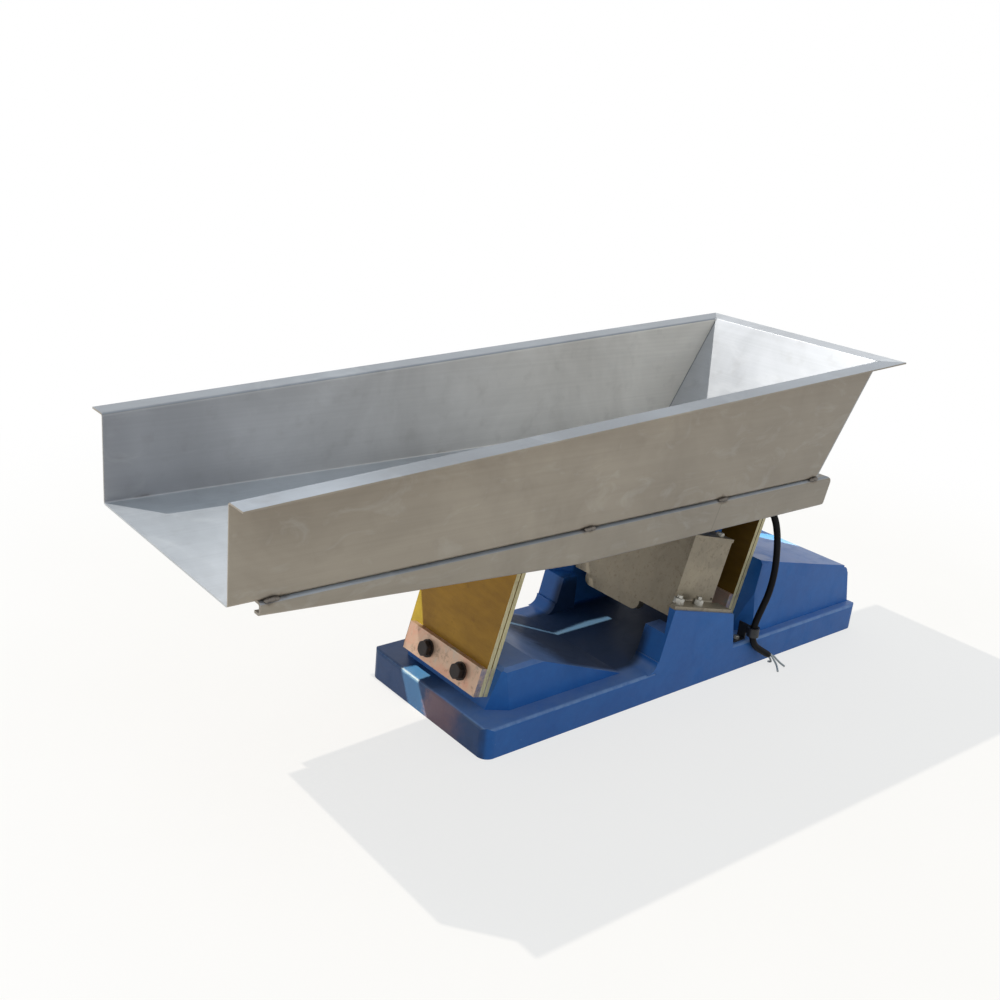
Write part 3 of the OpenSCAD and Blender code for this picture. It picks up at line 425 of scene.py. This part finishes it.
def painted_light_and_oil(s):
    """Masks of painted light: painted shade with oil in the casting's low middle under the trough,
    painted shade on the front face and the far half of the front upper faces, and a painted reddish
    reflection on the front face beside the front springs.
    """
    def all_of(first, *others):
        for other in others:
            first = s.math("MULTIPLY", first, other)
        return first

    ragged = s.range(s.noise(30, 4, 0.65, shift=(7, 1, 2)), 0.3, 0.7, -0.012, 0.012)
    x, y, z = s.along(0), s.along(1), s.along(2)
    ragged_x, ragged_y, ragged_z = [s.math("ADD", v, ragged) for v in (x, y, z)]
    front = all_of(s.range(x, -0.384, -0.388), s.range(s.facing(0), -0.5, -0.8))
    lying = s.range(s.facing(2), 0.5, 0.8)
    # Painted shade, oily, in the casting's low middle under the trough
    shade_and_oil = all_of(s.range(ragged_x, -0.27, -0.21, smooth=True), s.range(ragged_x, 0.12, 0.08, smooth=True),
                 s.range(ragged_z, 0.115, 0.08, smooth=True),
                 s.range(s.math("ABSOLUTE", y), 0.104, 0.088, smooth=True))
    # Painted shade on the front face away from its near end, and on the far half of the front upper
    # faces
    corner = s.range(ragged_y, -0.165, -0.10, smooth=True)
    deck = all_of(s.range(x, -0.26, -0.31), lying, s.range(ragged_y, -0.04, 0.01, smooth=True))
    painted_shade = s.math("MAXIMUM", s.math("MULTIPLY", front, corner), deck)
    # A painted reddish reflection of the ground on the front face, beside the front springs
    rust = all_of(front, s.range(ragged_y, 0.004, -0.012, smooth=True),
                  s.range(ragged_y, -0.085, -0.035, smooth=True))
    return shade_and_oil, painted_shade, rust


def painted_rim_highlight(s):
    """Painted highlight along the rounded upper edge of the plinth, broken up by noise."""
    rim = s.math("MULTIPLY", s.range(s.facing(2), 0.2, 0.4), s.range(s.facing(2), 0.97, 0.85))
    level = s.math("MULTIPLY", s.range(s.along(2), 0.034, 0.036), s.range(s.along(2), 0.0445, 0.0435))
    broken = s.range(s.noise(60, 4, 0.7, shift=(9, 2, 6)), 0.36, 0.56)
    return s.math("MULTIPLY", s.math("MULTIPLY", rim, level), broken)


def plated():
    """Zinc and chromate plate: pink and straw patches, grime, and a blue-grey tint on the faces towards
    -Y.
    """
    s = Shader("plated_steel", metallic=0.5)
    patch = s.noise(34, 4, 0.62, distort=1.0)
    base = s.mix(s.range(patch, 0.35, 0.52), srgb(206, 158, 134), srgb(204, 172, 148))
    base = s.mix(s.range(patch, 0.58, 0.76), base, srgb(186, 178, 166))
    # A blue-grey tint on the faces towards -Y, broken up by noise
    near_end_tint = s.math("MULTIPLY", s.range(s.facing(1), -0.5, -0.8), s.range(s.noise(120, 3), 0.3, 0.6))
    base = s.mix(s.math("MULTIPLY", near_end_tint, 0.75), base, srgb(104, 116, 150))
    grime = s.range(s.noise(90, 5, 0.7, shift=(3, 3, 3)), 0.54, 0.70, 0, 0.5)
    base = s.mix(grime, base, srgb(96, 78, 62))
    s.colour(base)
    s.rough(s.range(patch, 0.3, 0.7, 0.34, 0.5))
    s.bump(s.noise((90, 900, 90), 2), 0.00004, 0.6)
    return s.material


def rough_steel(name, tone, metallic, roughness, dirt, grain=(300, 300, 300), depth=0.00005):
    """Bare or plated steel with stains; tone and dirt are colours."""
    s = Shader(name, metallic=metallic)
    patch = s.noise(26, 4, 0.62, distort=0.6)
    speck = s.noise(190, 4, 0.66, shift=(6, 2, 1))
    base = s.mix(s.range(patch, 0.3, 0.7), shaded(tone, 0.88), shaded(tone, 1.08))
    base = s.mix(s.range(speck, 0.54, 0.72, 0, 0.6), base, srgb(*dirt))
    s.colour(base)
    s.rough(s.range(patch, 0.3, 0.7, roughness - 0.06, roughness + 0.08))
    s.bump(s.noise(grain, 2), depth, 0.7)
    return s.material


def laminations():
    """A varnished stack of thin steel sheets, whose edges show as fine lines across Y."""
    s = Shader("lamination", metallic=0.7)
    node = s.add("ShaderNodeTexWave", wave_type="BANDS", bands_direction="Y", wave_profile="SAW")
    s.put(node.inputs["Vector"], s.coords)
    node.inputs["Scale"].default_value = 300
    node.inputs["Distortion"].default_value = 0.3
    lines = node.outputs["Fac"]
    rust = s.range(s.noise(45, 5, 0.66), 0.5, 0.7, 0, 0.7)
    base = s.mix(lines, srgb(62, 60, 58), srgb(132, 128, 122))
    s.colour(s.mix(rust, base, srgb(96, 66, 44)))
    s.rough(s.range(rust, 0, 0.7, 0.42, 0.7))
    s.bump(lines, 0.0002, 0.7)
    return s.material


LEAF_LEAN = math.radians(15)
LEAF_TURN = (0, -LEAF_LEAN, 0)


def laminate_face():
    """Broad face of a glass-fibre leaf: amber resin over a woven mat, with painted shade darkening the
    rear pair.
    """
    s = Shader("laminate_face", specular=0.22)
    cloud = s.noise(16, 4, 0.6, distort=0.5)
    streak = s.noise((420, 30, 30), 3, turn=LEAF_TURN)
    fleck = s.noise(110, 4, 0.7, shift=(2, 7, 3))
    base = s.mix(s.range(cloud, 0.3, 0.7), srgb(154, 112, 28), srgb(176, 132, 42))
    base = s.mix(s.range(streak, 0.35, 0.7, 0, 0.35), base, srgb(124, 84, 18))
    # Painted shade: the rear pair, at x above 0, made darker
    base = s.mix(s.range(s.along(0), -0.1, 0.1, 0, 0.62), base, srgb(44, 34, 18))
    base = s.mix(s.range(fleck, 0.6, 0.74, 0, 0.4), base, srgb(120, 84, 28))
    s.colour(base)
    s.rough(s.range(cloud, 0.3, 0.7, 0.32, 0.42))
    weave_a = s.add("ShaderNodeTexWave", wave_type="BANDS", bands_direction="Y")
    weave_b = s.add("ShaderNodeTexWave", wave_type="BANDS", bands_direction="Z")
    for weave in (weave_a, weave_b):
        s.put(weave.inputs["Vector"], s.coords)
        weave.inputs["Scale"].default_value = 130
    s.bump(s.math("ADD", weave_a.outputs["Fac"], weave_b.outputs["Fac"]), 0.00005, 0.6)
    return s.material


def laminate_edge():
    """Sawn edge of a glass-fibre leaf: cream, with the plies as faint lines."""
    s = Shader("laminate_edge")
    plies = s.noise((1600, 40, 12), 2, turn=LEAF_TURN)
    base = s.mix(s.range(plies, 0.35, 0.65), srgb(230, 218, 176), srgb(198, 186, 142))
    base = s.mix(s.range(s.noise(60, 4, 0.7), 0.52, 0.7, 0, 0.5), base, srgb(150, 136, 104))
    s.colour(base)
    s.rough(0.62)
    s.bump(plies, 0.00012, 0.8)
    return s.material


def plain(name, tone, dark, roughness, grain, depth, **settings):
    """A moulded or painted surface with mottling; dark is its second colour."""
    s = Shader(name, **settings)
    patch = s.noise(48, 4, 0.65)
    s.colour(s.mix(s.range(patch, 0.35, 0.68), srgb(*tone), srgb(*dark)))
    s.rough(s.range(patch, 0.3, 0.7, roughness - 0.06, roughness + 0.1))
    s.bump(s.noise(grain, 3, 0.6), depth, 0.7)
    return s.material


def coil_tape():
    """Varnished cotton tape, wound round the coil in turns."""
    s = Shader("coil_tape", coat_weight=0.3, coat_roughness=0.25)
    node = s.add("ShaderNodeTexWave", wave_type="BANDS", bands_direction="Z", wave_profile="TRI")
    s.put(node.inputs["Vector"], s.coords)
    node.inputs["Scale"].default_value = 26
    node.inputs["Distortion"].default_value = 0.4
    base = s.mix(node.outputs["Fac"], srgb(142, 88, 42), srgb(190, 136, 76))
    s.colour(s.mix(s.range(s.noise(70, 4), 0.4, 0.7, 0, 0.5), base, srgb(92, 54, 28)))
    s.rough(0.42)
    s.bump(node.outputs["Fac"], 0.0004, 0.7)
    return s.material


MATERIALS = {
    "stainless": stainless("stainless_sheet", INNER_TONE, OUTER_TONE, FLANGE_TONE),
    "back_plate": stainless("stainless_back_plate", BACK_TONE, BACK_TONE, INNER_TONE, grain_axis=1,
                            welds=False),
    "rail": stainless("stainless_rail", RAIL_TONE, RAIL_TONE, FLANGE_TONE, crease=True),
    "blue_paint": blue_paint(),
    "plated_steel": plated(),
    "dark_steel": rough_steel("dark_steel", (38, 31, 29), 0.35, 0.5, (70, 48, 36)),
    "lamination": laminations(),
    "laminate_face": laminate_face(),
    "laminate_edge": laminate_edge(),
    "housing_steel": rough_steel("housing_steel", (150, 140, 122), 0.55, 0.46, (104, 88, 70),
                                 (8, 600, 120)),
    "bright_screw": rough_steel("bright_screw", (188, 186, 178), 0.85, 0.34, (120, 108, 92)),
    "coil_tape": coil_tape(),
    "black_plastic": plain("black_plastic", (34, 34, 36), (24, 24, 25), 0.46, 260, 0.0001),
    "black_steel": plain("black_steel", (40, 40, 43), (28, 28, 30), 0.42, 200, 0.0001),
    "black_rubber": plain("black_rubber", (5, 5, 7), (13, 13, 16), 0.55, (300, 300, 120), 0.00012,
                          specular=0.14),
    "lead_sheath": plain("lead_sheath", (196, 200, 200), (168, 170, 168), 0.5, 300, 0.00005),
    "weld": rough_steel("weld_metal", (120, 114, 108), 0.8, 0.42, (56, 46, 40)),
}
NODE_MATERIALS = {"trough_back_plate": "back_plate", "near_rail": "rail", "far_rail": "rail"}

for row in frame["record"]["subparts"]:
    node = frame["nodes"][row["node"]]
    material = MATERIALS.get(NODE_MATERIALS.get(row["node"], row["material_slot"]))
    if material is not None:
        node.data.materials.clear()
        node.data.materials.append(material)


# ---- Cable ----

CABLE_D, LEAD_D = 10, 3
CABLE_ROUTE = [
    (27, -30, 225), (31, -30, 240), (36, -34, 253), (48, -49, 266), (64, -71, 273), (82, -96, 272),
    (97, -115, 264), (108, -126, 251), (117, -130, 235), (125, -131, 216), (131, -131, 196),
    (135, -131, 175), (137, -131, 154), (136, -131, 134), (132, -131, 115), (126, -131, 101),
    (118, -132, 88), (111, -133, 75), (109, -133, 61), (112, -133, 47), (120, -134, 35),
    (132, -137, 26), (148, -141, 16)]
LEAD_ROUTES = [
    [(153, -148, 10), (153, -153, 5.5), (149, -159, 3), (142, -166, 1.5)],
    [(153, -141, 9), (155, -142, 5), (156, -141, 2.5), (155, -137, 1.5)],
    [(157, -144, 13), (161, -148, 8), (164, -154, 3.5), (165, -161, 1.5)]]
CABLE_STEPS, CABLE_SIDES = 5, 24
CABLE_END_SHARE = 0.86  # the first and last ring's radius, as a share of the cable's
LEAD_OUT, LEAD_STEPS, LEAD_SIDES = 2.6, 4, 12
BOOT_L, BOOT_R, BOOT_GROOVE, BOOT_STEPS = 36, (7.4, 5.6), 0.55, 16


def make_cable():
    points = [point(*p) for p in CABLE_ROUTE]
    route = smooth_route(points, CABLE_STEPS)
    last = len(route) - 1
    radius = CABLE_D / 2 * MM

    def radius_at(i, k):
        return radius * (CABLE_END_SHARE if i in (0, last) else 1)

    cable = mesh_object("cable_sheath", tube(route, radius_at, CABLE_SIDES), MATERIALS["black_rubber"])
    end, ahead, side = list(route_frames(route))[-1]
    leads = []
    for i, lead in enumerate(LEAD_ROUTES):
        angle = math.radians(90 + 120 * i)
        start = end + LEAD_OUT * MM * (side * math.cos(angle) + ahead.cross(side) * math.sin(angle))
        lead_route = smooth_route([start - ahead * 2 * MM, start + ahead * 2 * MM]
                                  + [point(*p) for p in lead], LEAD_STEPS)
        core = tube(lead_route, lambda i, k: LEAD_D / 2 * MM, LEAD_SIDES)
        leads.append(mesh_object(f"cable_lead_{i}", core, MATERIALS["lead_sheath"]))
    for lead in leads:
        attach(lead, "base")
    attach(cable, "base")
    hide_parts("cable")
    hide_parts("cable_leads")
    tuple(route[0])
    round(route_length(route), 3)
    [tuple(p) for p in route]


make_cable()


def make_strain_relief():
    """A ribbed plastic boot that tapers from the gland on to the cable's first length."""
    route = smooth_route([point(*p) for p in CABLE_ROUTE], BOOT_STEPS)
    gone, keep = 0.0, [route[0]]
    for a, b in zip(route, route[1:]):
        gone += (b - a).length
        if gone > BOOT_L * MM:
            break
        keep.append(b)
    last = len(keep) - 1

    def radius_at(i, k):
        t = i / last
        groove = BOOT_GROOVE if 0.15 < t < 0.9 and i % 4 == 0 else 0
        return (BOOT_R[0] + (BOOT_R[1] - BOOT_R[0]) * t - groove) * MM

    boot = mesh_object("gland_boot", tube(keep, radius_at, CABLE_SIDES), MATERIALS["black_plastic"])
    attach(boot, "base")


make_strain_relief()


# ---- Leaf springs: the CAD leaves, cut into short lengths along each leaf ----

ALONG_LEAF = Vector((math.sin(LEAF_LEAN), 0, math.cos(LEAF_LEAN)))
THROUGH_LEAF = Vector((math.cos(LEAF_LEAN), 0, -math.sin(LEAF_LEAN)))
LEAF_CUTS, CLAMP_H = 22, 38


def make_leaf(node_name):
    source = frame["nodes"][node_name]
    bm = bmesh.new()
    bm.from_mesh(source.data)
    bmesh.ops.remove_doubles(bm, verts=bm.verts, dist=1e-6)
    bmesh.ops.dissolve_limit(bm, angle_limit=0.001, verts=bm.verts, edges=bm.edges)
    reach = [v.co.dot(ALONG_LEAF) for v in bm.verts]
    low, high = min(reach), max(reach)
    foot = min((v.co for v in bm.verts), key=lambda co: co.dot(ALONG_LEAF)).copy()
    for i in range(1, LEAF_CUTS):
        at = foot + ALONG_LEAF * (high - low) * i / LEAF_CUTS
        bmesh.ops.bisect_plane(bm, geom=bm.verts[:] + bm.edges[:] + bm.faces[:], plane_co=at,
                               plane_no=ALONG_LEAF)
    leaf = mesh_object(node_name + "_bending", bm, MATERIALS["laminate_face"], smooth=False)
    leaf.data.materials.append(MATERIALS["laminate_edge"])
    for polygon in leaf.data.polygons:
        if abs(polygon.normal.dot(THROUGH_LEAF)) < 0.9:
            polygon.material_index = 1
    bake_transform(leaf)
    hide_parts(node_name)


for leaf_name in ("front_leaf_outer", "front_leaf_inner", "rear_leaf_outer", "rear_leaf_inner"):
    make_leaf(leaf_name)


# ---- Weld stitches between the trough and its rails ----

WELD_L, WELD_R, WELD_STEP, WELD_SIDES = 18, 2.6, 0.55, 12


def weld_bead(name, start, end, radius, seed):
    """A rippled bead from start to end, round-ended and a little uneven."""
    length = (end - start).length
    count = max(8, int(length / (WELD_STEP * MM)))
    route = []
    for i in range(count + 1):
        t = i / count
        drift = Vector((0, wobble(seed, i // 4), wobble(seed, i // 4, 3))) * radius * 0.12
        route.append(start.lerp(end, t) + drift)

    def radius_at(i, k):
        t = i / count
        taper = min(1, math.sqrt(max(0.02, min(t, 1 - t) * length / radius)))
        ripple = 0.84 + 0.16 * abs(math.sin(i * 0.72 + 0.25 * math.sin(2 * math.pi * k / WELD_SIDES)))
        return radius * taper * ripple * (1 + 0.10 * wobble(seed, i // 3, k))

    piece = mesh_object(name, tube(route, radius_at, WELD_SIDES), MATERIALS["weld"])
    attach(piece, "tray")
    return piece


for side_name, side in (("near", -1), ("far", 1)):
    for number, x in enumerate(WELD_X):
        weld_bead(f"weld_{side_name}_{number}", point(x - WELD_L / 2, side * WELD_Y, WELD_Z),
                  point(x + WELD_L / 2, side * WELD_Y, WELD_Z), WELD_R * MM, number + 5 * side)


# ---- Floor and light ----

FLOOR_HALF, FLOOR_Z, FADE_FROM, FADE_TO = 14.0, -0.0004, 0.6, 1.5
FLOOR_WHITE = 0.72  # the share of white that the camera sees near the part; it is 1 past FADE_TO


def make_floor():
    bm = bmesh.new()
    corners = [bm.verts.new((x * FLOOR_HALF, y * FLOOR_HALF, FLOOR_Z))
               for x, y in ((-1, -1), (1, -1), (1, 1), (-1, 1))]
    bm.faces.new(corners)
    s = Shader("floor_paint", specular=0.2)
    mottle = s.noise(3, 3)
    s.colour(s.mix(s.range(mottle, 0.3, 0.7), srgb(222, 214, 202), srgb(226, 218, 207)))
    s.rough(0.8)
    length = s.add("ShaderNodeVectorMath", operation="LENGTH")
    s.put(length.inputs[0], s.coords)
    away = s.range(length.outputs["Value"], FADE_FROM, FADE_TO, FLOOR_WHITE, 1.0, smooth=True)
    white = s.add("ShaderNodeEmission")
    white.inputs["Strength"].default_value = 1
    seen = s.add("ShaderNodeLightPath")
    direct = s.math("MAXIMUM", seen.outputs["Is Camera Ray"], seen.outputs["Is Glossy Ray"])
    mixer = s.add("ShaderNodeMixShader")
    s.put(mixer.inputs[0], s.math("MULTIPLY", away, direct))
    s.put(mixer.inputs[1], s.bsdf.outputs["BSDF"])
    s.put(mixer.inputs[2], white.outputs["Emission"])
    s.put(s.tree.nodes["Material Output"].inputs["Surface"], mixer.outputs["Shader"])
    floor = mesh_object("floor", bm, s.material, smooth=False)


HORIZON, ZENITH = (0.46, 0.46, 0.455, 1), (0.74, 0.88, 1.0, 1)


def make_world(fill):
    """White to the camera and to gloss; a soft bluish sky, paler at the horizon, as the fill light."""
    world = bpy.data.worlds.new("studio")
    bpy.context.scene.world = world
    world.use_nodes = True
    tree = world.node_tree
    sky = tree.nodes["Background"]
    coords = tree.nodes.new("ShaderNodeTexCoord")
    parts = tree.nodes.new("ShaderNodeSeparateXYZ")
    tree.links.new(coords.outputs["Generated"], parts.inputs[0])
    ramp = tree.nodes.new("ShaderNodeValToRGB")
    ramp.color_ramp.elements[0].position, ramp.color_ramp.elements[0].color = 0.0, HORIZON
    ramp.color_ramp.elements[1].position, ramp.color_ramp.elements[1].color = 0.8, ZENITH
    tree.links.new(parts.outputs["Z"], ramp.inputs["Fac"])
    tree.links.new(ramp.outputs["Color"], sky.inputs["Color"])
    sky.inputs["Strength"].default_value = fill
    white = tree.nodes.new("ShaderNodeBackground")
    white.inputs["Color"].default_value = (1, 1, 1, 1)
    white.inputs["Strength"].default_value = 1
    seen = tree.nodes.new("ShaderNodeLightPath")
    rays = [seen.outputs[n] for n in ("Is Camera Ray", "Is Glossy Ray", "Is Transmission Ray")]
    share = rays[0]
    for ray in rays[1:]:
        node = tree.nodes.new("ShaderNodeMath")
        node.operation = "MAXIMUM"
        tree.links.new(share, node.inputs[0])
        tree.links.new(ray, node.inputs[1])
        share = node.outputs[0]
    mixer = tree.nodes.new("ShaderNodeMixShader")
    tree.links.new(share, mixer.inputs[0])
    tree.links.new(sky.outputs[0], mixer.inputs[1])
    tree.links.new(white.outputs[0], mixer.inputs[2])
    tree.links.new(mixer.outputs[0], tree.nodes["World Output"].inputs["Surface"])


def make_sun(name, strength, colour, only=()):
    """A sun whose light comes from SUN_TOWARD, on every piece or on some only."""
    data = bpy.data.lights.new(name, "SUN")
    data.energy = strength
    data.angle = SUN_SOFTNESS
    data.color = colour
    lamp = bpy.data.objects.new(name, data)
    lamp.rotation_euler = SUN_TOWARD.to_track_quat("Z", "Y").to_euler()
    bpy.context.scene.collection.objects.link(lamp)
    if only:
        lit = bpy.data.collections.new(name + "_lit")
        for piece in only:
            lit.objects.link(piece)
        lamp.light_linking.receiver_collection = lit


# A flag at y = FLAG_Y, as a studio uses, shades the base inside the outline FLAG_SHADOW, in mm
SUN_TOWARD, SUN_SOFTNESS = Vector((-0.476, 0.589, 1.0)), 0.012
KEY, KEY_COLOUR = 2.7, (1.0, 0.98, 0.94)
FLAG_Y = 0.26
FLAG_SHADOW = [
    (-392, 127.5, 0), (-392, 36, 0), (-392, 58, 43), (-366, 52, 43), (-146, 34, 43), (-63, 40.6, 43),
    (395, -1.7, 43), (395, 127.5, 0)]
# Two more suns from the same side light a few pieces only, for the sunlit strips on base and leaves
BASE_SUN, BASE_SUN_COLOUR = 19, (1.0, 0.8, 0.4)
LEAF_SUN, LEAF_SUN_COLOUR = 6, (0.4, 0.85, 1.0)
LEAVES_LIT = ("front_leaf_outer_bending", "front_leaf_inner_bending")
FILL = 0.80


def make_flag():
    bm = bmesh.new()
    corners = []
    for corner in FLAG_SHADOW:
        at = point(*corner)
        corners.append(bm.verts.new(at + SUN_TOWARD * (FLAG_Y - at.y) / SUN_TOWARD.y))
    bm.faces.new(corners)
    s = Shader("flag_cloth")
    s.colour(s.mix(s.noise(20), srgb(20, 20, 20), srgb(28, 28, 28)))
    flag = mesh_object("flag", bm, s.material, smooth=False)
    flag.visible_camera = flag.visible_diffuse = flag.visible_glossy = flag.visible_transmission = False


make_floor()
make_flag()
make_world(FILL)
make_sun("key", KEY, KEY_COLOUR)
make_sun("kicker", BASE_SUN, BASE_SUN_COLOUR, only=[frame["nodes"]["base_casting"]])
make_sun("leaf_kicker", LEAF_SUN, LEAF_SUN_COLOUR, only=[bpy.data.objects[n] for n in LEAVES_LIT])
bpy.context.scene.view_settings.view_transform = "Standard"
